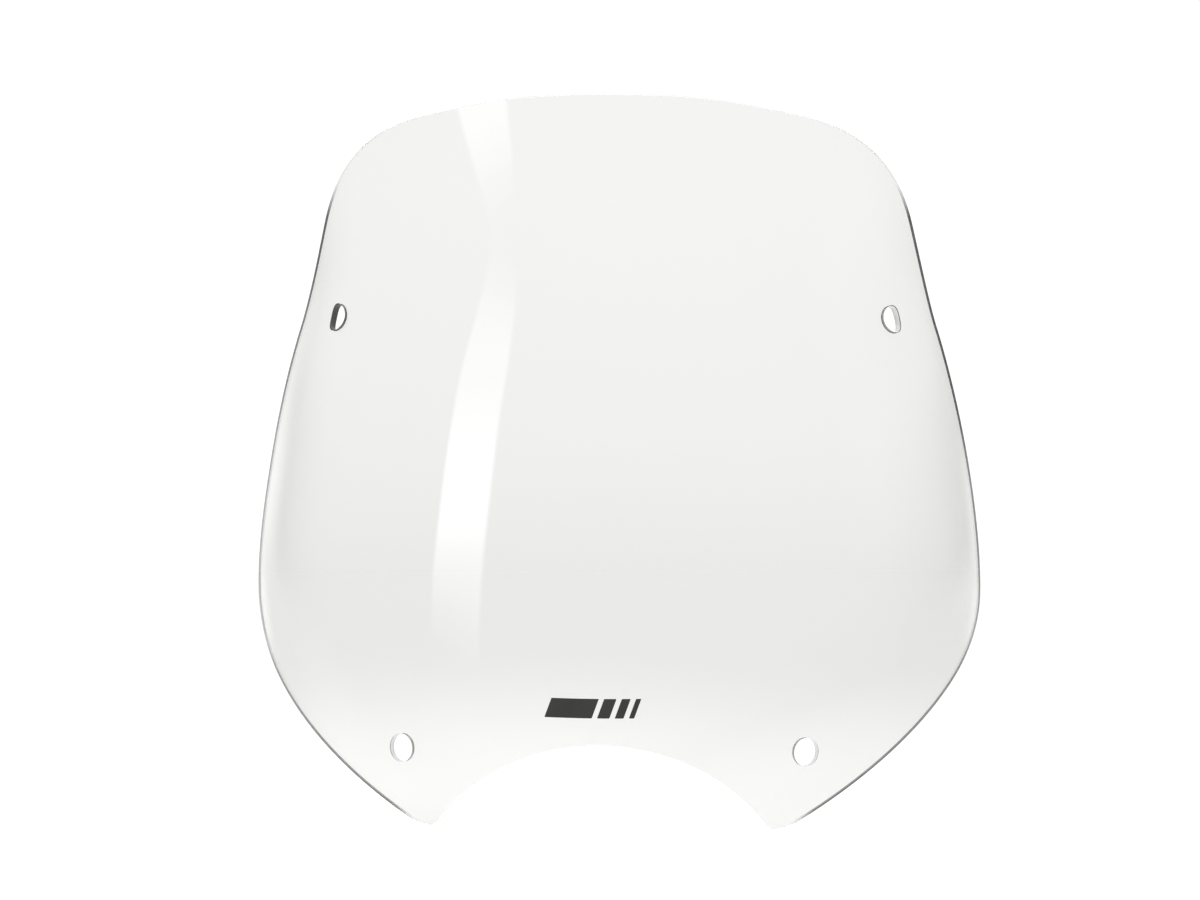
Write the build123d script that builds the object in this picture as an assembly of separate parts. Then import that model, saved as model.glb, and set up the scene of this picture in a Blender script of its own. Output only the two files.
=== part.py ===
from build123d import *
import math
import os

# Clear motorcycle windshield screen: one formed acrylic sheet with four mounting holes,
# and a plain film mark low on its outside face.
# Millimetres. +Z is up, the rider sits on the +Y side, and the outside faces -Y.

SHEET = 4.0                 # thickness of the acrylic sheet
EDGE_ROUND = 0.8            # the sheet's cut edges are flame polished
HOLE_D = 16.0               # mounting holes, drilled square to the surface
UPPER_HOLE = (165.5, 275.6)  # x and height of the upper pair, mirrored
LOWER_HOLE = (116.6, 42.0)   # x and height of the lower pair, mirrored
FILM = 0.2                  # thickness of the film mark

# The outside surface is a stack of level conic arcs. At each height, the arc has its nose
# on the centre plane, set back by NOSE_Y, with radius NOSE_R there. CONIC says how the
# sides run on: -1 is a circle, and nearer 0 the sides flatten into a parabola.
# The values guide a smooth cubic B-spline, one value every PITCH of height.
PITCH = 60.0
NOSE_Y = (0.5, -2, 6.5, 21.5, 35, 50.5, 67.5, 102, 120, 126)
NOSE_R = (216, 218, 224, 235, 218, 199, 162, 177, 211, 245)
CONIC = (-0.90, -0.97, -1.01, -0.99, -0.93, -0.75, -0.56, -0.35, -0.34, -0.40)

# Trimmed outline, seen from the front as x and height. The bottom is one round arch.
ARCH_R = 114.0
ARCH_TOP = 51.8
# The right-hand edge is a chain of Bezier curves: each row has two handles and an end.
EDGE_START = (93.7, 2.7)
EDGE = (
    ((97, -2.1), (107.3, 0.3), (112.5, 2.9)),            # rounded lower tip
    ((141, 16.7), (180, 38.4), (201.5, 61.4)),           # lower flank
    ((213.3, 74), (219.2, 88.6), (219.2, 107.6)),        # hip, the widest place
    ((219.2, 158.8), (204.3, 227), (192, 265.2)),        # long side
    ((187, 280.9), (180.5, 312), (176.6, 328.3)),        # shoulder
    ((169.5, 358.4), (152.3, 384.9), (113, 395.8)),      # upper corner
    ((73.7, 406.7), (50.7, 411.5), (0, 411.5)),          # crown
)

# Film mark: one long slanted block and three stripes that get narrower, a little off centre.
MARK_LENGTH = 55.0
MARK_HEIGHT = 10.8
MARK_BASE = 67.5
MARK_SHIFT = -4.0
MARK_SLANT = 4.0
MARK_GAP = 3.0
STRIPES = {"mark_stripe_1": 7.0, "mark_stripe_2": 5.0, "mark_stripe_3": 3.0}

# The origin is at the middle of the part's box, on its base.
BASE_Y = 100.495
BASE_Z = -0.179


def guided(row, height):
    """Value of a guide row at a height."""
    station = height / PITCH
    i = min(max(math.floor(station), 0), len(row) - 4)
    t = station - i
    weights = ((1 - t)**3, 3*t**3 - 6*t**2 + 4, -3*t**3 + 3*t**2 + 3*t + 1, t**3)
    return sum(w * v for w, v in zip(weights, row[i:i + 4])) / 6


def surface_y(x, height):
    """How far back the outside surface lies."""
    radius = guided(NOSE_R, height)
    root = math.sqrt(max(1 + guided(CONIC, height) * (x / radius)**2, 0.04))
    return guided(NOSE_Y, height) + x * x / radius / (1 + root)


def surface_point(x, height):
    return Vector(x, surface_y(x, height) - BASE_Y, height - BASE_Z)


def outward(x, height):
    """Unit normal of the outside surface."""
    step = 0.01
    slope_x = (surface_y(x + step, height) - surface_y(x - step, height)) / (2 * step)
    slope_z = (surface_y(x, height + step) - surface_y(x, height - step)) / (2 * step)
    return Vector(slope_x, -1, slope_z).normalized()


def outside_face():
    """The formed surface, a little larger than the trimmed sheet."""
    half_width = 226
    lowest = -8
    highest = 418
    count = 31
    grid = []
    for i in range(count):
        x = half_width * (2 * i / (count - 1) - 1)
        heights = [lowest + (highest - lowest) * j / (count - 1) for j in range(count)]
        grid.append([surface_point(x, height) for height in heights])
    return Face.make_surface_from_array_of_points(grid, tol=0.02, min_deg=3, max_deg=8)


def trimmed(edges):
    """The formed surface inside an outline that is seen from the front."""
    cutter = Solid.extrude(Face(Wire(edges)), Vector(0, 400, 0))
    return outside_face() & cutter


def front_point(x, height):
    return Vector(x, -150, height - BASE_Z)


def sheet_outline():
    arch_end = front_point(*EDGE_START)
    arch_start = front_point(-EDGE_START[0], EDGE_START[1])
    edges = [Edge.make_three_point_arc(arch_start, front_point(0, ARCH_TOP), arch_end)]
    for side in (1, -1):
        start = EDGE_START
        for handle_1, handle_2, end in EDGE:
            points = [front_point(side * x, z) for x, z in (start, handle_1, handle_2, end)]
            edges.append(Edge.make_bezier(*points))
            start = end
    return edges


def mounting_holes():
    holes = []
    for x, height in (UPPER_HOLE, LOWER_HOLE):
        for side in (1, -1):
            centre = surface_point(side * x, height)
            axis = outward(side * x, height)
            plane = Plane(origin=centre - axis * SHEET / 2, z_dir=axis)
            holes.append(plane * Cylinder(HOLE_D / 2, 6 * SHEET))
    return holes


def screen():
    sheet = Solid.thicken(trimmed(sheet_outline()), SHEET, normal_override=(0, 1, 0))
    rim = [edge for edge in sheet.edges() if edge.length > 2 * SHEET]
    sheet = sheet.fillet(EDGE_ROUND, rim)
    for hole in mounting_holes():
        sheet = sheet - hole
    return sheet


def film_piece(left, width):
    right = left + width
    corners = [(left, 0), (right, 0), (right + MARK_SLANT, MARK_HEIGHT), (left + MARK_SLANT, MARK_HEIGHT)]
    points = [front_point(x, MARK_BASE + z) for x, z in corners]
    edges = [Edge.make_line(points[i], points[(i + 1) % 4]) for i in range(4)]
    return Solid.thicken(trimmed(edges), FILM, normal_override=(0, -1, 0))


def mark():
    pieces = {}
    left = MARK_SHIFT - MARK_LENGTH / 2
    block = MARK_LENGTH - MARK_SLANT - sum(STRIPES.values()) - MARK_GAP * len(STRIPES)
    for name, width in {"mark_block": block, **STRIPES}.items():
        pieces[name] = film_piece(left, width)
        left += width + MARK_GAP
    return pieces


os.makedirs("parts", exist_ok=True)
for name, solid in {"screen": screen(), **mark()}.items():
    solid.label = name
    export_step(solid, f"parts/{name}.step")
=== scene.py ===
"""Clear formed windshield screen on a white studio table."""

import math

import bmesh
import bpy
from mathutils import Matrix, Quaternion, Vector
from mathutils.geometry import delaunay_2d_cdt


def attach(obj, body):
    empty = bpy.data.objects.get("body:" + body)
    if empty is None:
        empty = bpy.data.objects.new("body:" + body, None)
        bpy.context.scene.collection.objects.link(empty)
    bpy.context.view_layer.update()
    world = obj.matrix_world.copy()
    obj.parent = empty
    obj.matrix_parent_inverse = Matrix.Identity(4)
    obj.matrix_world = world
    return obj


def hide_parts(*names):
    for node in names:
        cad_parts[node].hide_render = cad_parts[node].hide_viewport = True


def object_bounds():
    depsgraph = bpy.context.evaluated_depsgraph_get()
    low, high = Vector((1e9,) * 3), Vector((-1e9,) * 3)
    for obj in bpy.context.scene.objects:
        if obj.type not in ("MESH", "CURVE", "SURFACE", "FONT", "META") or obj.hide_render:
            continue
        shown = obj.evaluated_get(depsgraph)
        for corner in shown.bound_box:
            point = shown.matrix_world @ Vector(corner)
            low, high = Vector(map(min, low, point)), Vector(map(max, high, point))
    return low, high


MM = 0.001

# The part's own dimensions, in millimetres, as the CAD has them.
SHEET = 4.0
HOLE_R = 8.0
UPPER_HOLE = (165.5, 275.6)     # x and height of the upper pair, mirrored
LOWER_HOLE = (116.6, 42.0)

# The outside surface is a stack of level conic arcs. At each height, the arc has its nose on
# the centre plane, set back by NOSE_Y, with radius NOSE_R there. CONIC says how the sides run
# on: -1 is a circle, and nearer 0 the sides flatten into a parabola. The values guide a smooth
# cubic B-spline, one value every PITCH of height. They are the rounded results of a least
# squares fit to the photo, made by a scratch program, and not sizes chosen by hand.
PITCH = 60.0
NOSE_Y = (0.5, -2, 6.5, 21.5, 35, 50.5, 67.5, 102, 120, 126)
NOSE_R = (216, 218, 224, 235, 218, 199, 162, 177, 211, 245)
CONIC = (-0.90, -0.97, -1.01, -0.99, -0.93, -0.75, -0.56, -0.35, -0.34, -0.40)

# The trimmed outline, seen from the front as x and height. The bottom is one round arch, and
# the right side is a chain of Bezier curves: each row has two handles and an end. These are
# rounded results of a second such fit.
ARCH_R = 114.0
ARCH_TOP = 51.8
EDGE_START = (93.7, 2.7)
EDGE = (
    ((97, -2.1), (107.3, 0.3), (112.5, 2.9)),            # rounded lower tip
    ((141, 16.7), (180, 38.4), (201.5, 61.4)),           # lower flank
    ((213.3, 74), (219.2, 88.6), (219.2, 107.6)),        # hip, the widest place
    ((219.2, 158.8), (204.3, 227), (192, 265.2)),        # long side
    ((187, 280.9), (180.5, 312), (176.6, 328.3)),        # shoulder
    ((169.5, 358.4), (152.3, 384.9), (113, 395.8)),      # upper corner
    ((73.7, 406.7), (50.7, 411.5), (0, 411.5)),          # crown
)

# The film mark: one slanted block and three stripes that get narrower, a little off centre.
MARK_LENGTH = 55.0
MARK_HEIGHT = 10.8
MARK_BASE = 67.5
MARK_SHIFT = -4.0
MARK_SLANT = 4.0
MARK_GAP = 3.0
STRIPES = {"mark_stripe_1": 7.0, "mark_stripe_2": 5.0, "mark_stripe_3": 3.0}
FILM = 0.2

BASE_Y = 100.495            # where the frame's origin lies, in the numbers above
BASE_Z = -0.179
LEAST_ROOT = 0.04           # keeps the section's square root real far outside the sheet

# The mesh, in millimetres.
EDGE_ROUND = 0.8            # the sheet's edges are flame polished
HOLE_ROUND = 0.35
FILM_ROUND = 0.05
FILM_CORNER = 0.5
FILM_SINK = 0.01            # the film's underside lies this far inside the sheet
OUTLINE_PITCH = 2.6         # spacing of the points along the outline
SKIN_PITCH = 4.5            # spacing of the skin's inner points
FILM_PITCH = 2.5
GRID_R = 232.0              # points crowd towards the sides, as on a circle this big
ROW_RATIO = 0.87            # spacing of the staggered rows, over the pitch
RIM_CLEARANCE = 0.62        # nearest that an inner point comes to an edge, over the pitch
ROUND_STEPS = 4
HOLE_SIDES = 72

# The sheet's material slots.
CLEAR, EDGE_CURVE, EDGE_WALL, SHADED_WALL, FROSTED_WALL = range(5)

ACRYLIC_IOR = 1.49
EDGE_IOR = 1.05             # a low one, so that the cut edge doesn't glint

# The camera, in degrees and metres. The table is square to it.
CAMERA_AZIMUTH = 3.80
CAMERA_ELEVATION = 10.0
CAMERA_ROLL = -0.32
CAMERA_DISTANCE = 2.2
CAMERA_LENS = 115.5
AIM_OFFSET = (-0.0023, -0.0406, 0.0070)     # from the middle of the CAD's box


# ---------------------------------------------------------------- the formed surface

def guided(row, height):
    """Value of a guide row at a height."""
    station = height / PITCH
    i = min(max(math.floor(station), 0), len(row) - 4)
    t = station - i
    weights = ((1 - t)**3, 3*t**3 - 6*t**2 + 4, -3*t**3 + 3*t**2 + 3*t + 1, t**3)
    return sum(w * v for w, v in zip(weights, row[i:i + 4])) / 6


def surface_y(x, height):
    """How far back the outside surface lies."""
    radius = guided(NOSE_R, height)
    root = math.sqrt(max(1 + guided(CONIC, height) * (x / radius)**2, LEAST_ROOT))
    return guided(NOSE_Y, height) + x * x / radius / (1 + root)


def surface_point(x, height):
    """Point of the outside surface, in metres."""
    return Vector((x, surface_y(x, height) - BASE_Y, height - BASE_Z)) * MM


def slopes(x, height):
    """Slopes of the outside surface across and upwards."""
    step = 0.01
    slope_x = (surface_y(x + step, height) - surface_y(x - step, height)) / (2 * step)
    slope_z = (surface_y(x, height + step) - surface_y(x, height - step)) / (2 * step)
    return slope_x, slope_z


def outward(x, height):
    """Normal of the outside surface, away from the sheet."""
    slope_x, slope_z = slopes(x, height)
    return Vector((slope_x, -1, slope_z)).normalized()


# ---------------------------------------------------------------- loops of edge points

class EdgePoint:
    """A point on a cut edge: its place, the skin's normal there, and the way out of the sheet."""

    def __init__(self, point, normal, out):
        self.point = point
        self.normal = normal
        self.out = out


def edge_loop(flat):
    """Edge points along a closed outline given as x and height, anticlockwise from the front."""
    loop = []
    for i, (x, height) in enumerate(flat):
        before = flat[i - 1]
        after = flat[(i + 1) % len(flat)]
        along = surface_point(*after) - surface_point(*before)
        normal = outward(x, height)
        loop.append(EdgePoint(surface_point(x, height), normal, along.cross(normal).normalized()))
    return loop


def hole_loop(x, height):
    """Edge points round a hole drilled square to the surface."""
    centre = surface_point(x, height)
    axis = outward(x, height)
    side = axis.orthogonal().normalized()
    other = axis.cross(side)
    loop = []
    for i in range(HOLE_SIDES):
        turn = 2 * math.pi * i / HOLE_SIDES
        out = side * math.cos(turn) + other * math.sin(turn)
        point = centre + out * HOLE_R * MM
        for _ in range(3):      # slides the point along the axis, on to the surface
            gap = surface_y(point.x / MM, point.z / MM + BASE_Z) - BASE_Y - point.y / MM
            point += axis * (gap * MM / axis.y)
        loop.append(EdgePoint(point, axis, -out))
    return loop


def bezier(points, count):
    """Points along a cubic Bezier, without its start."""
    result = []
    for i in range(1, count + 1):
        t = i / count
        weights = ((1 - t)**3, 3 * t * (1 - t)**2, 3 * t * t * (1 - t), t**3)
        result.append(tuple(sum(w * p[k] for w, p in zip(weights, points)) for k in (0, 1)))
    return result


def sheet_outline():
    """The trimmed outline as x and height, anticlockwise from the front."""
    least_steps = 10
    half = [EDGE_START]
    start = EDGE_START
    for handle_1, handle_2, end in EDGE:
        reach = math.dist(start, handle_1) + math.dist(handle_1, handle_2) + math.dist(handle_2, end)
        steps = max(least_steps, round(reach / OUTLINE_PITCH))
        half += bezier((start, handle_1, handle_2, end), steps)
        start = end
    arch_centre = ARCH_TOP - ARCH_R
    arch_half = math.atan2(EDGE_START[0], EDGE_START[1] - arch_centre)
    count = round(2 * arch_half * ARCH_R / OUTLINE_PITCH)
    arch = []
    for i in range(1, count):
        turn = -arch_half + 2 * arch_half * i / count
        arch.append((ARCH_R * math.sin(turn), arch_centre + ARCH_R * math.cos(turn)))
    other_half = [(-x, height) for x, height in reversed(half[:-1])]
    return half + other_half + arch


# ---------------------------------------------------------------- meshes

def flat_place(point):
    """Where a point lies on the flattened skin."""
    x = max(-1.0, min(1.0, point.x / MM / GRID_R))
    return Vector((GRID_R * math.asin(x), point.z / MM + BASE_Z))


def inside(place, polygon):
    """Whether a place lies inside a polygon, by counting crossings."""
    hit = False
    for a, b in zip(polygon, polygon[1:] + polygon[:1]):
        if (a.y > place.y) != (b.y > place.y):
            if place.x < a.x + (b.x - a.x) * (place.y - a.y) / (b.y - a.y):
                hit = not hit
    return hit


def inner_places(polygon, hole_polygons, pitch):
    """Staggered grid places inside the outline, a little clear of every edge."""
    low_x = min(p.x for p in polygon)
    low_z = min(p.y for p in polygon)
    columns = int((max(p.x for p in polygon) - low_x) / pitch) + 2
    rows = int((max(p.y for p in polygon) - low_z) / (pitch * ROW_RATIO)) + 2
    rims = [p for loop in (polygon, *hole_polygons) for p in loop]
    cells = {}
    for p in rims:
        cells.setdefault((int(p.x // pitch), int(p.y // pitch)), []).append(p)
    places = []
    for row in range(rows):
        for column in range(columns):
            shift = 0.5 if row % 2 else 0.0
            place = Vector((low_x + (column + shift) * pitch, low_z + row * pitch * ROW_RATIO))
            i, j = int(place.x // pitch), int(place.y // pitch)
            around = [(i + di, j + dj) for di in (-1, 0, 1) for dj in (-1, 0, 1)]
            near = [p for cell in around for p in cells.get(cell, [])]
            if any((p - place).length < RIM_CLEARANCE * pitch for p in near):
                continue
            if inside(place, polygon) and not any(inside(place, h) for h in hole_polygons):
                places.append(place)
    return places


def formed_piece(name, loops, rounds, finishes, front, back, pitch):
    """A closed mesh between two offsets of the formed surface, with rounded edges.

    loops are the cut edges, outline first, each with its edge radius in rounds and the material
    slots of its front rounding, wall and back rounding in finishes. front and back are how far
    outside the surface the two skins lie, and pitch is the spacing of their points. All lengths
    are in millimetres.
    """
    # The flattened skin, triangulated between the edges.
    rings = []
    for loop, radius in zip(loops, rounds):
        rings.append([e.point - e.out * radius * MM for e in loop])
    polygons = [[flat_place(p) for p in ring] for ring in rings]
    places = [p for polygon in polygons for p in polygon]
    edges = []
    first = 0
    for polygon in polygons:
        count = len(polygon)
        edges += [(first + i, first + (i + 1) % count) for i in range(count)]
        first += count
    rim_count = len(places)
    places += inner_places(polygons[0], polygons[1:], pitch)
    flat, _, triangles, origins, _, _ = delaunay_2d_cdt(places, edges, [], 1, 1e-6)

    # The same triangles on the formed surface, once outside and once inside.
    rim_points = [(p, e.normal) for ring, loop in zip(rings, loops) for p, e in zip(ring, loop)]
    points = []
    normals = []
    place_of = {}
    for index, (place, came_from) in enumerate(zip(flat, origins)):
        rim = [i for i in came_from if i < rim_count]
        if rim:
            point, normal = rim_points[rim[0]]
            for i in rim:
                place_of[i] = index
        else:
            x = GRID_R * math.sin(place.x / GRID_R)
            point, normal = surface_point(x, place.y), outward(x, place.y)
        points.append(point)
        normals.append(normal)

    mesh = bmesh.new()
    shading = []

    def add(point, normal):
        shading.append(normal)
        return mesh.verts.new(point)

    front_skin = [add(p + n * front * MM, n) for p, n in zip(points, normals)]
    back_skin = [add(p + n * back * MM, -n) for p, n in zip(points, normals)]
    for triangle in triangles:
        middle = sum((flat[i] for i in triangle), Vector((0, 0))) / 3
        if any(inside(middle, hole) for hole in polygons[1:]):
            continue
        a, b, c = triangle
        turn = (points[b] - points[a]).cross(points[c] - points[a]).dot(normals[a])
        order = (a, b, c) if turn > 0 else (a, c, b)
        mesh.faces.new([front_skin[i] for i in order])
        mesh.faces.new([back_skin[i] for i in reversed(order)])

    # The edges: a rounding, a wall and a rounding along each loop.
    first = 0
    thickness = front - back
    for loop, radius, finish in zip(loops, rounds, finishes):
        columns = []
        for i, e in enumerate(loop):
            index = place_of[first + i]
            column = [front_skin[index]]
            for k in range(1, 2 * ROUND_STEPS + 1):
                before_wall = k <= ROUND_STEPS
                turn = math.pi / 2 * (k if before_wall else k - 1) / ROUND_STEPS
                depth = radius * (1 - math.cos(turn))
                if not before_wall:
                    depth = thickness - radius * (1 + math.cos(turn))
                out = e.out * math.sin(turn)
                inset = e.out * radius * MM * (1 - math.sin(turn))
                point = e.point - inset + e.normal * (front - depth) * MM
                column.append(add(point, (out + e.normal * math.cos(turn)).normalized()))
            column.append(back_skin[index])
            columns.append(column)
        for i, column in enumerate(columns):
            following = columns[(i + 1) % len(columns)]
            for k in range(len(column) - 1):
                face = mesh.faces.new((column[k], column[k + 1], following[k + 1], following[k]))
                part = 0 if k < ROUND_STEPS else 1 if k == ROUND_STEPS else 2
                face.material_index = finish[part]
        first += len(loop)

    bmesh.ops.recalc_face_normals(mesh, faces=mesh.faces)
    data = bpy.data.meshes.new(name)
    mesh.to_mesh(data)
    mesh.free()
    for polygon in data.polygons:
        polygon.use_smooth = True
    data.normals_split_custom_set_from_vertices(shading)
    piece = bpy.data.objects.new(name, data)
    bpy.context.scene.collection.objects.link(piece)
    return piece


def rounded(corners, radius, steps=5):
    """A polygon's outline with its corners rounded and its sides divided."""
    result = []
    count = len(corners)
    for i in range(count):
        corner = Vector(corners[i])
        before = (Vector(corners[i - 1]) - corner).normalized()
        after = (Vector(corners[(i + 1) % count]) - corner).normalized()
        for k in range(steps + 1):
            t = k / steps
            result.append(corner + before * radius * (1 - t)**2 + after * radius * t**2)
        side_end = Vector(corners[(i + 1) % count]) - after * radius
        side_start = corner + after * radius
        pieces = max(1, round((side_end - side_start).length / FILM_PITCH))
        result += [side_start.lerp(side_end, k / pieces) for k in range(1, pieces)]
    return [tuple(p) for p in result]


# ---------------------------------------------------------------- materials

class Nodes:
    """A short way to write shader nodes."""

    def __init__(self, material):
        self.tree = material.node_tree
        self.tree.nodes.clear()

    def add(self, kind, settings=None, **inputs):
        node = self.tree.nodes.new(kind)
        for key, value in (settings or {}).items():
            setattr(node, key, value)
        for key, value in inputs.items():
            socket = node.inputs[key.replace("_", " ")]
            if isinstance(value, bpy.types.NodeSocket):
                self.tree.links.new(value, socket)
            else:
                socket.default_value = value
        return node

    def maths(self, operation, *values):
        """A Math node of sockets or numbers."""
        node = self.add("ShaderNodeMath", {"operation": operation})
        for socket, value in zip(node.inputs, values):
            if isinstance(value, bpy.types.NodeSocket):
                self.tree.links.new(value, socket)
            else:
                socket.default_value = value
        return node.outputs["Value"]

    def rescale(self, value, before, after=(0.0, 1.0), curve="LINEAR"):
        """Carry one range of a value over to another, held at both ends."""
        node = self.add(
            "ShaderNodeMapRange", {"interpolation_type": curve}, Value=value,
            From_Min=before[0], From_Max=before[1], To_Min=after[0], To_Max=after[1],
        )
        return node.outputs["Result"]

    def ramp(self, value, stops):
        """A grey ramp of position and level."""
        node = self.add("ShaderNodeValToRGB", Fac=value)
        elements = node.color_ramp.elements
        elements[0].position, first = stops[0]
        elements[0].color = (first, first, first, 1)
        elements[1].position, last = stops[-1]
        elements[1].color = (last, last, last, 1)
        for position, level in stops[1:-1]:
            elements.new(position).color = (level, level, level, 1)
        return node.outputs["Color"]

    def mix(self, factor, first, second):
        """A mix of two shader nodes."""
        node = self.add("ShaderNodeMixShader", Fac=factor)
        self.tree.links.new(first.outputs[0], node.inputs[1])
        self.tree.links.new(second.outputs[0], node.inputs[2])
        return node


def new_material(name):
    material = bpy.data.materials.new(name)
    material.use_nodes = True
    return material, Nodes(material)


def acrylic():
    """Clear cast acrylic with faint forming waves and upright hairlines."""
    material, n = new_material("clear_acrylic")
    place = n.add("ShaderNodeTexCoord").outputs["Object"]
    waves = n.add("ShaderNodeTexNoise", Vector=place, Scale=9.0, Detail=1.0).outputs["Fac"]
    stretched = n.add("ShaderNodeMapping", Vector=place, Scale=(900.0, 900.0, 24.0)).outputs["Vector"]
    hairs = n.add("ShaderNodeTexNoise", Vector=stretched, Scale=1.0, Detail=2.0).outputs["Fac"]
    rough = n.rescale(hairs, (0.62, 0.80), (0.004, 0.05))
    bump = n.add("ShaderNodeBump", Height=waves, Strength=0.06, Distance=0.004)
    shader = n.add(
        "ShaderNodeBsdfPrincipled", Base_Color=(0.820, 0.820, 0.808, 1), Roughness=rough,
        Normal=bump.outputs["Normal"], IOR=ACRYLIC_IOR, Transmission_Weight=1.0,
    )
    n.add("ShaderNodeOutputMaterial", Surface=shader.outputs["BSDF"])
    return material


def cut_edge_with_painted_shade(name, flank_painted_shade, crown_clearness, flank_clearness, foot_share):
    """The trimmed edge, clear along the crown and the arch, with painted shade along the flanks.

    The flanks' darker tone and changed clearness are painted shade, set by place on the part.
    foot_share is how much of the painted flank shade is left at the lower tips.
    """
    crown_tone = 0.93
    side = (0.108, 0.120)           # metres off centre over which the painted flank shade sets in
    shoulder = (0.352, 0.332)       # metres above the table, the same
    foot = (0.05, 0.10)             # and over which it thins towards the lower tips
    material, n = new_material(name)
    place = n.add("ShaderNodeTexCoord").outputs["Object"]
    parts = n.add("ShaderNodeSeparateXYZ", Vector=place).outputs
    outer = n.rescale(n.maths("ABSOLUTE", parts["X"]), side)
    lower = n.rescale(parts["Z"], shoulder)
    share = n.rescale(parts["Z"], foot, (foot_share, 1.0))
    flank_shade_mask = n.maths("MULTIPLY", n.maths("MULTIPLY", outer, lower), share)
    # Painted shade: by place on the part, the tone and clearness go from the crown's look to the
    # flanks' darker look.
    tone = n.ramp(flank_shade_mask, ((0.0, crown_tone), (1.0, flank_painted_shade)))
    clearness = n.rescale(flank_shade_mask, (0.0, 1.0), (crown_clearness, flank_clearness))
    fine = n.add("ShaderNodeTexNoise", Vector=place, Scale=700.0, Detail=2.0).outputs["Fac"]
    rough = n.rescale(fine, (0.0, 1.0), (0.02, 0.10))
    shader = n.add(
        "ShaderNodeBsdfPrincipled", Base_Color=tone, Roughness=rough, IOR=EDGE_IOR,
        Transmission_Weight=clearness,
    )
    n.add("ShaderNodeOutputMaterial", Surface=shader.outputs["BSDF"])
    return material


def drilled_wall(name, tone):
    """The wall of a drilled hole, frosted by the drill. Given a dark tone, it is a painted shade
    copy.
    """
    material, n = new_material(name)
    place = n.add("ShaderNodeTexCoord").outputs["Object"]
    fine = n.add("ShaderNodeTexNoise", Vector=place, Scale=1500.0, Detail=2.0).outputs["Fac"]
    rough = n.rescale(fine, (0.0, 1.0), (0.25, 0.45))
    shader = n.add(
        "ShaderNodeBsdfPrincipled", Base_Color=(tone, tone, tone, 1), Roughness=rough,
        IOR=ACRYLIC_IOR, Transmission_Weight=0.15,
    )
    n.add("ShaderNodeOutputMaterial", Surface=shader.outputs["BSDF"])
    return material


def vinyl():
    """Charcoal cut film with a fine orange peel."""
    material, n = new_material("charcoal_vinyl")
    place = n.add("ShaderNodeTexCoord").outputs["Object"]
    grain = n.add("ShaderNodeTexNoise", Vector=place, Scale=900.0, Detail=3.0).outputs["Fac"]
    cloud = n.add("ShaderNodeTexNoise", Vector=place, Scale=60.0, Detail=2.0).outputs["Fac"]
    colour = n.add("ShaderNodeValToRGB", Fac=cloud)
    colour.color_ramp.elements[0].color = (0.022, 0.022, 0.020, 1)
    colour.color_ramp.elements[1].color = (0.036, 0.036, 0.033, 1)
    rough = n.rescale(grain, (0.0, 1.0), (0.30, 0.48))
    bump = n.add("ShaderNodeBump", Height=grain, Strength=0.12, Distance=0.0002)
    shader = n.add(
        "ShaderNodeBsdfPrincipled", Base_Color=colour.outputs["Color"], Roughness=rough,
        Normal=bump.outputs["Normal"],
    )
    n.add("ShaderNodeOutputMaterial", Surface=shader.outputs["BSDF"])
    return material


# ---------------------------------------------------------------- studio

def flat_panel(name, corners, material):
    """A flat four cornered piece of the studio."""
    bm = bmesh.new()
    bm.faces.new([bm.verts.new((x, y, 0)) for x, y in corners])
    data = bpy.data.meshes.new(name)
    bm.to_mesh(data)
    bm.free()
    data.materials.append(material)
    panel = bpy.data.objects.new(name, data)
    bpy.context.scene.collection.objects.link(panel)
    return panel


def rectangle(left, right, near, far):
    return (left, near), (right, near), (right, far), (left, far)


def table_painted_glow():
    """A white that glows most at the table's middle, a painted pool of light, left out of what the
    gloss reflects.
    """
    middle_place = (-0.07, 0.0, 0.0)
    front_right_way = (1.0, -0.6, 0.0)
    material, n = new_material("glowing_table")
    place = n.add("ShaderNodeTexCoord").outputs["Object"]
    distance_node = n.add("ShaderNodeVectorMath", {"operation": "DISTANCE"})
    n.tree.links.new(place, distance_node.inputs[0])
    distance_node.inputs[1].default_value = middle_place
    distance = distance_node.outputs["Value"]
    # Painted light: a glowing pool at the middle, a lift at the outskirts and a brighter patch to the
    # front right.
    middle = n.rescale(distance, (-0.10, 0.46), (0.93, 0.608), "SMOOTHERSTEP")
    outskirts = n.rescale(distance, (0.70, 0.88), (0.0, 0.14), "SMOOTHERSTEP")
    towards = n.add("ShaderNodeVectorMath", {"operation": "DOT_PRODUCT"})
    n.tree.links.new(place, towards.inputs[0])
    towards.inputs[1].default_value = front_right_way
    front_right = n.rescale(towards.outputs["Value"], (0.0, 0.16), (0.0, 0.165))
    near = n.rescale(distance, (0.55, 0.30), curve="SMOOTHSTEP")
    glow = n.maths("ADD", middle, outskirts)
    glow = n.maths("ADD", glow, n.maths("MULTIPLY", front_right, near))
    shader = n.add(
        "ShaderNodeBsdfPrincipled", Base_Color=(0.3, 0.3, 0.3, 1), Roughness=0.6,
        Emission_Color=(1.0, 0.997, 0.989, 1), Emission_Strength=glow,
    )
    clear = n.add("ShaderNodeBsdfTransparent")
    reflected = n.maths("GREATER_THAN", n.add("ShaderNodeLightPath").outputs["Glossy Depth"], 0.5)
    n.add("ShaderNodeOutputMaterial", Surface=n.mix(reflected, shader, clear).outputs["Shader"])
    return material


def table_top():
    """A wide white table under the screen, square to the camera."""
    half_width = 1.4
    front_edge = -1.6
    back_edge = 0.645
    drop = 0.0005               # keeps the top just clear of the screen's tips
    corners = rectangle(-half_width, half_width, front_edge, back_edge)
    table = flat_panel("table_top", corners, table_painted_glow())
    table.location.z = -drop
    table.rotation_euler.z = math.radians(CAMERA_AZIMUTH)


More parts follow.
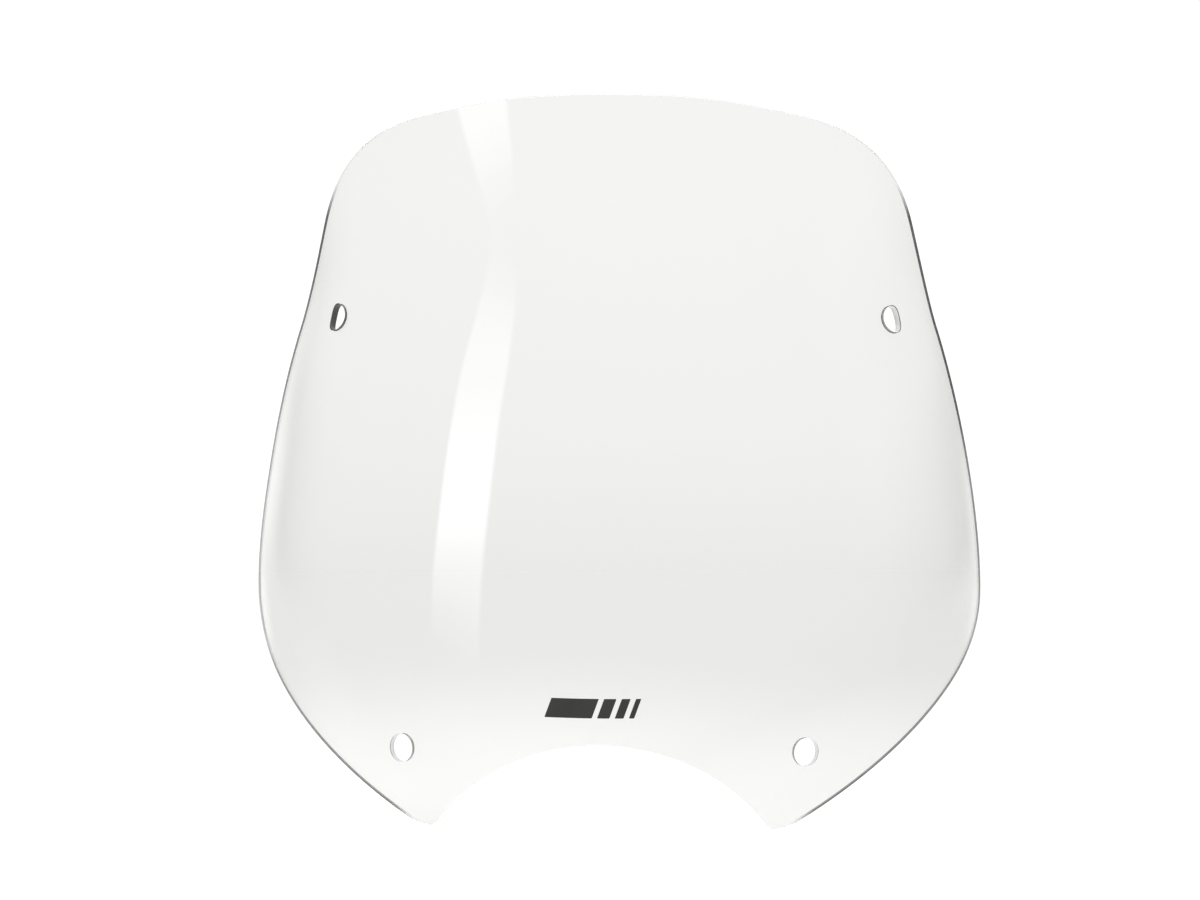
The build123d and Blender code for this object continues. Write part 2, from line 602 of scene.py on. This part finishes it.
def softbox_cloth(low, high):
    """A glow that fades towards the panel's top and sides."""
    strength = 5.2
    soft_edge = 0.24
    widest = 1.1
    material, n = new_material("softbox_cloth")
    place = n.add("ShaderNodeTexCoord").outputs["Object"]
    parts = n.add("ShaderNodeSeparateXYZ", Vector=place).outputs
    height = n.rescale(parts["Y"], (low, high))
    # The levels and widths were worked out from the photo's highlight by a scratch program, then
    # changed by hand.
    level = n.ramp(height, (
        (0.03, 0.12), (0.07, 0.205), (0.096, 0.283), (0.122, 0.44), (0.149, 0.565), (0.178, 0.70),
        (0.209, 0.92), (0.257, 1.0), (0.30, 1.0), (0.342, 0.86), (0.431, 0.62), (0.488, 0.53),
        (0.564, 0.52), (0.631, 0.46), (0.711, 0.375), (0.764, 0.33), (0.827, 0.23), (0.889, 0.18),
        (1.0, 0.10),
    ))
    width = n.maths("MULTIPLY", widest, n.ramp(height, (
        (0.0, 0.98), (0.48, 0.98), (0.56, 0.94), (0.65, 0.87), (0.74, 0.82), (0.83, 0.75),
        (0.92, 0.64), (1.0, 0.48),
    )))
    within = n.maths("SUBTRACT", width, n.maths("ABSOLUTE", parts["X"]))
    edge = n.rescale(within, (0.0, soft_edge), curve="SMOOTHSTEP")
    ends = n.ramp(height, ((0.0, 0.0), (0.06, 1.0), (0.93, 1.0), (1.0, 0.0)))
    glow = n.add("ShaderNodeEmission", Strength=n.maths("MULTIPLY", level, strength))
    clear = n.add("ShaderNodeBsdfTransparent")
    cloth = n.mix(n.maths("MULTIPLY", edge, ends), clear, glow)
    n.add("ShaderNodeOutputMaterial", Surface=cloth.outputs["Shader"])
    return material


def softbox(aim, right, up, back):
    """A tall soft panel at the front left, tapering to its top and brightest low down."""
    side_angle = math.radians(-52.5)
    rise = math.radians(17)
    lean = math.radians(5.8)
    away = 1.6
    half_width = away * math.tan(math.radians(8.9))
    half_height = away * math.tan(math.radians(17.0))
    side = 1.2
    low = -1.2
    high = 1.05
    level_way = right * math.sin(side_angle) + back * math.cos(side_angle)
    direction = level_way * math.cos(rise) + up * math.sin(rise)
    panel = flat_panel("softbox", rectangle(-side, side, low, high), softbox_cloth(low, high))
    facing = direction.to_track_quat("Z", "Y") @ Quaternion((0, 0, 1), lean)
    size = (half_width, half_height, 1)
    panel.matrix_world = Matrix.LocRotScale(aim + direction * away, facing, size)
    panel.visible_camera = False
    panel.visible_transmission = False


def studio_world():
    """A white surround, with a dimmer room for the gloss to reflect."""
    backdrop = 1.1
    world = bpy.data.worlds.new("studio")
    world.use_nodes = True
    bpy.context.scene.world = world
    n = Nodes(world)
    way = n.add("ShaderNodeTexCoord").outputs["Generated"]
    parts = n.add("ShaderNodeSeparateXYZ", Vector=way).outputs

    def compass(*stops):
        """Stops given as degrees round from straight behind the screen, positive to the right."""
        return tuple((0.5 + degrees / 360, level) for degrees, level in stops)

    def share(degrees):
        """Degrees above the level as a share of the way from straight down to straight up."""
        return 0.5 + degrees / 180

    def rises(*stops):
        """Stops given as degrees above the level."""
        return tuple((share(degrees), level) for degrees, level in stops)

    around = n.maths("ARCTAN2", parts["X"], parts["Y"])
    turn = n.maths("ADD", n.maths("DIVIDE", around, 2 * math.pi), 0.5)
    from_below = n.maths("ARCCOSINE", n.maths("MULTIPLY", parts["Z"], -1.0))
    rise = n.maths("DIVIDE", from_below, math.pi)
    # The stops below were picked and changed by hand, most of them from light levels that a
    # scratch program worked out from the photo.
    surround = n.ramp(rise, rises(
        (-90, 0.95), (-12.1, 1.035), (-11.6, 1.05), (-10.9, 1.082), (-9.9, 1.112), (-8.5, 1.128),
        (-6.5, 1.155), (90, 1.155),
    ))
    level_room = n.ramp(turn, compass(
        (-180, 0.45), (-155, 0.43), (-118, 0.38), (-100, 0.42), (-83, 0.52), (-70, 0.50),
        (-60, 0.40), (-54, 0.33), (-50, 0.50), (-47, 0.80), (-41, 1.15), (42, 1.15), (46.5, 0.35),
        (49, 0.14), (55, 0.09), (64, 0.18), (80, 0.25), (91, 0.32), (102, 0.38), (130, 0.46),
        (180, 0.45),
    ))
    low_room = n.ramp(turn, compass(
        (-180, 0.60), (-123, 0.78), (-90, 0.80), (-60, 0.68), (-44, 0.80), (-36, 1.15), (39, 1.15),
        (45, 0.70), (54, 0.55), (65, 0.42), (72, 0.38), (80, 0.30), (90, 0.36), (105, 0.36),
        (120, 0.40), (180, 0.60),
    ))
    high_lift = n.ramp(turn, compass(
        (-180, 0.0), (-82, 0.0), (-68, 0.16), (-60, 0.28), (-52, 0.34), (-44, 0.0), (51, 0.0),
        (57, 0.36), (68, 0.29), (90, 0.25), (104, 0.06), (125, 0.0), (180, 0.0),
    ))
    low = n.rescale(rise, (share(-9.5), share(-2.0)), (1.0, 0.0), "SMOOTHSTEP")
    high = n.rescale(rise, (share(1.0), share(11.0)), curve="SMOOTHSTEP")
    drop = n.maths("MULTIPLY", low, n.maths("SUBTRACT", low_room, level_room))
    room = n.maths("ADD", level_room, drop)
    room = n.maths("ADD", room, n.maths("MULTIPLY", high, high_lift))
    path = n.add("ShaderNodeLightPath").outputs
    reflected = n.maths("GREATER_THAN", path["Glossy Depth"], 0.5)
    past = n.add("ShaderNodeBackground", Color=(1, 1, 1, 1), Strength=surround)
    gloss = n.add("ShaderNodeBackground", Color=(1, 1, 1, 1), Strength=room)
    white = n.add("ShaderNodeBackground", Color=(1, 1, 1, 1), Strength=backdrop)
    indirect = n.mix(reflected, past, gloss)
    whole = n.mix(path["Is Camera Ray"], indirect, white)
    n.add("ShaderNodeOutputWorld", Surface=whole.outputs["Shader"])


def overhead_light():
    """A weak soft light from above."""
    light = bpy.data.lights.new("overhead", "AREA")
    light.shape = "RECTANGLE"
    light.size = 1.4
    light.size_y = 1.0
    light.energy = 5.0
    lamp = bpy.data.objects.new("overhead", light)
    lamp.location = (0, 0.1, 1.9)
    lamp.visible_camera = False
    bpy.context.scene.collection.objects.link(lamp)


def camera_axes():
    """Right, up and back of a camera a little to the right of the front and above it."""
    azimuth = math.radians(CAMERA_AZIMUTH)
    elevation = math.radians(CAMERA_ELEVATION)
    roll = math.radians(CAMERA_ROLL)
    outwards = math.cos(elevation)
    back = Vector((
        math.sin(azimuth) * outwards, -math.cos(azimuth) * outwards, math.sin(elevation),
    ))
    level = Vector((0, 0, 1)).cross(back).normalized()
    upright = back.cross(level)
    right = level * math.cos(roll) + upright * math.sin(roll)
    up = upright * math.cos(roll) - level * math.sin(roll)
    return right, up, back


def camera(aim, right, up, back):
    data = bpy.data.cameras.new("camera")
    data.sensor_width = 36.0
    data.lens = CAMERA_LENS
    shot = bpy.data.objects.new("camera", data)
    facing = Matrix((right, up, back)).transposed().to_4x4()
    shot.matrix_world = Matrix.Translation(aim + back * CAMERA_DISTANCE) @ facing
    bpy.context.scene.collection.objects.link(shot)
    bpy.context.scene.camera = shot


# ---------------------------------------------------------------- the scene

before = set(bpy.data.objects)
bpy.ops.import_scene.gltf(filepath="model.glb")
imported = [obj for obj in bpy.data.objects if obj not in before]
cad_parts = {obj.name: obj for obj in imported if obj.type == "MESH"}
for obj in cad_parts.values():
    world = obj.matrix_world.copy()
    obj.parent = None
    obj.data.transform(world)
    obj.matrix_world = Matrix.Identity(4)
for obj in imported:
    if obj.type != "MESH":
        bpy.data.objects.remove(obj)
cad_low, cad_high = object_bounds()

# The screen
holes = [(side * x, height) for x, height in (UPPER_HOLE, LOWER_HOLE) for side in (1, -1)]
loops = [edge_loop(sheet_outline())] + [hole_loop(*hole) for hole in holes]
rounds = [EDGE_ROUND] + [HOLE_ROUND] * len(holes)
# The upper holes' dark roundings and walls are painted shade, a dark copy of the drilled wall.
finishes = [
    (EDGE_CURVE, EDGE_WALL, EDGE_WALL),             # the outline
    (SHADED_WALL, FROSTED_WALL, SHADED_WALL),         # upper hole, right of the picture
    (SHADED_WALL, SHADED_WALL, SHADED_WALL),           # upper hole, left of the picture
    (CLEAR, FROSTED_WALL, CLEAR),                   # lower holes
    (CLEAR, FROSTED_WALL, CLEAR),
]
screen = formed_piece("clear_screen", loops, rounds, finishes, 0.0, -SHEET, SKIN_PITCH)
# Painted shade: the edge's roundings and walls darken along the flanks.
curve_shade_look = {"flank_painted_shade": 0.04, "crown_clearness": 0.4, "flank_clearness": 1.0, "foot_share": 1.0}
wall_shade_look = {"flank_painted_shade": 0.19, "crown_clearness": 0.80, "flank_clearness": 0.15, "foot_share": 0.72}
screen.data.materials.append(acrylic())
screen.data.materials.append(cut_edge_with_painted_shade("edge_round_shaded", **curve_shade_look))
screen.data.materials.append(cut_edge_with_painted_shade("edge_wall_shaded", **wall_shade_look))
# Painted shade: a dark copy of the drilled wall, for the upper holes' dark rims.
screen.data.materials.append(drilled_wall("shaded_drilled_wall", tone=0.10))
screen.data.materials.append(drilled_wall("frosted_wall", tone=0.86))
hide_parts("screen")
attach(screen, "root")

# The film mark
film = vinyl()
left = MARK_SHIFT - MARK_LENGTH / 2
block = MARK_LENGTH - MARK_SLANT - sum(STRIPES.values()) - MARK_GAP * len(STRIPES)
for node, width in {"mark_block": block, **STRIPES}.items():
    right_end = left + width
    top = MARK_BASE + MARK_HEIGHT
    corners = [
        (left, MARK_BASE), (right_end, MARK_BASE),
        (right_end + MARK_SLANT, top), (left + MARK_SLANT, top),
    ]
    loop = edge_loop(rounded(corners, FILM_CORNER))
    piece = formed_piece(
        "film_" + node, [loop], [FILM_ROUND], [(0, 0, 0)], FILM, -FILM_SINK, FILM_PITCH,
    )
    piece.data.materials.append(film)
    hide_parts(node)
    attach(piece, "root")
    left = right_end + MARK_GAP

# The studio
right, up, back = camera_axes()
aim = (cad_low + cad_high) / 2 + Vector(AIM_OFFSET)
table_top()
softbox(aim, right, up, back)
studio_world()
overhead_light()
camera(aim, right, up, back)
bpy.context.scene.view_settings.view_transform = "Standard"
